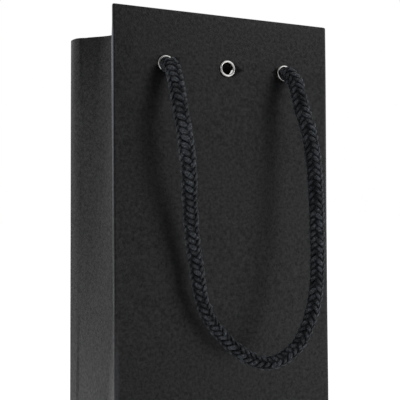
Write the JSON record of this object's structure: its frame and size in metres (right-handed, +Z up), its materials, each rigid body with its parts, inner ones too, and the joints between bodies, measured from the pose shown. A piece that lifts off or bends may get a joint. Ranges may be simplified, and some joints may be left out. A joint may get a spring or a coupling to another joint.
{
  "type": "wine gift bag",
  "caption": "Tall block-bottom paper gift bag for one bottle, matte black, with creased side gussets, metal eyelets and braided cord handles front and back.",
  "frame": {"origin": "middle of the base, on the surface the bag stands on", "axes": "+Z up through the mouth, -Y out of the front panel, +X to the viewer's right when facing the front"},
  "size_m": [0.12, 0.156, 0.36],
  "materials": {
    "black_card_paper": "matte, through-dyed, fine grain",
    "greyboard": "uncoated greyboard",
    "nickel": "bright nickel plate",
    "braided_cord": "braided cotton, slightly fuzzy"
  },
  "bodies": {
    "bag": {"front_panel": "black_card_paper", "back_panel": "black_card_paper", "left_gusset_front_half": "black_card_paper", "left_gusset_rear_half": "black_card_paper", "left_gusset_foot": "black_card_paper", "left_gusset_turn_in": "black_card_paper", "right_gusset_front_half": "black_card_paper", "right_gusset_rear_half": "black_card_paper", "right_gusset_foot": "black_card_paper", "right_gusset_turn_in": "black_card_paper", "front_turn_in": "black_card_paper", "back_turn_in": "black_card_paper", "seam_flap": "black_card_paper", "front_bottom_flap": "black_card_paper", "back_bottom_flap": "black_card_paper", "left_bottom_flap": "black_card_paper", "right_bottom_flap": "black_card_paper", "front_eyelet_card": "greyboard", "back_eyelet_card": "greyboard", "base_card": "greyboard", "front_left_eyelet": "nickel", "front_left_washer": "nickel", "front_middle_eyelet": "nickel", "front_middle_washer": "nickel", "front_right_eyelet": "nickel", "front_right_washer": "nickel", "back_left_eyelet": "nickel", "back_left_washer": "nickel", "back_middle_eyelet": "nickel", "back_middle_washer": "nickel", "back_right_eyelet": "nickel", "back_right_washer": "nickel", "front_left_knot": "braided_cord", "front_left_cord_end": "braided_cord", "front_right_knot": "braided_cord", "front_right_cord_end": "braided_cord", "back_left_knot": "braided_cord", "back_left_cord_end": "braided_cord", "back_right_knot": "braided_cord", "back_right_cord_end": "braided_cord"},
    "front_handle": {"front_handle_cord": "braided_cord", "front_left_cord_bend": "braided_cord", "front_right_cord_bend": "braided_cord"},
    "back_handle": {"back_handle_cord": "braided_cord", "back_left_cord_bend": "braided_cord", "back_right_cord_bend": "braided_cord"}
  },
  "joints": [
    {"name": "front_handle_swing", "type": "hinge", "parent": "bag", "child": "front_handle", "pos_m": [0, -0.05149, 0.331], "axis": [-1, 0, 0], "range_deg": [0, 150], "deforming": ["front_left_cord_bend", "front_right_cord_bend"]},
    {"name": "back_handle_swing", "type": "hinge", "parent": "bag", "child": "back_handle", "pos_m": [0, 0.05149, 0.331], "axis": [1, 0, 0], "range_deg": [0, 150], "deforming": ["back_left_cord_bend", "back_right_cord_bend"]}
  ]
}
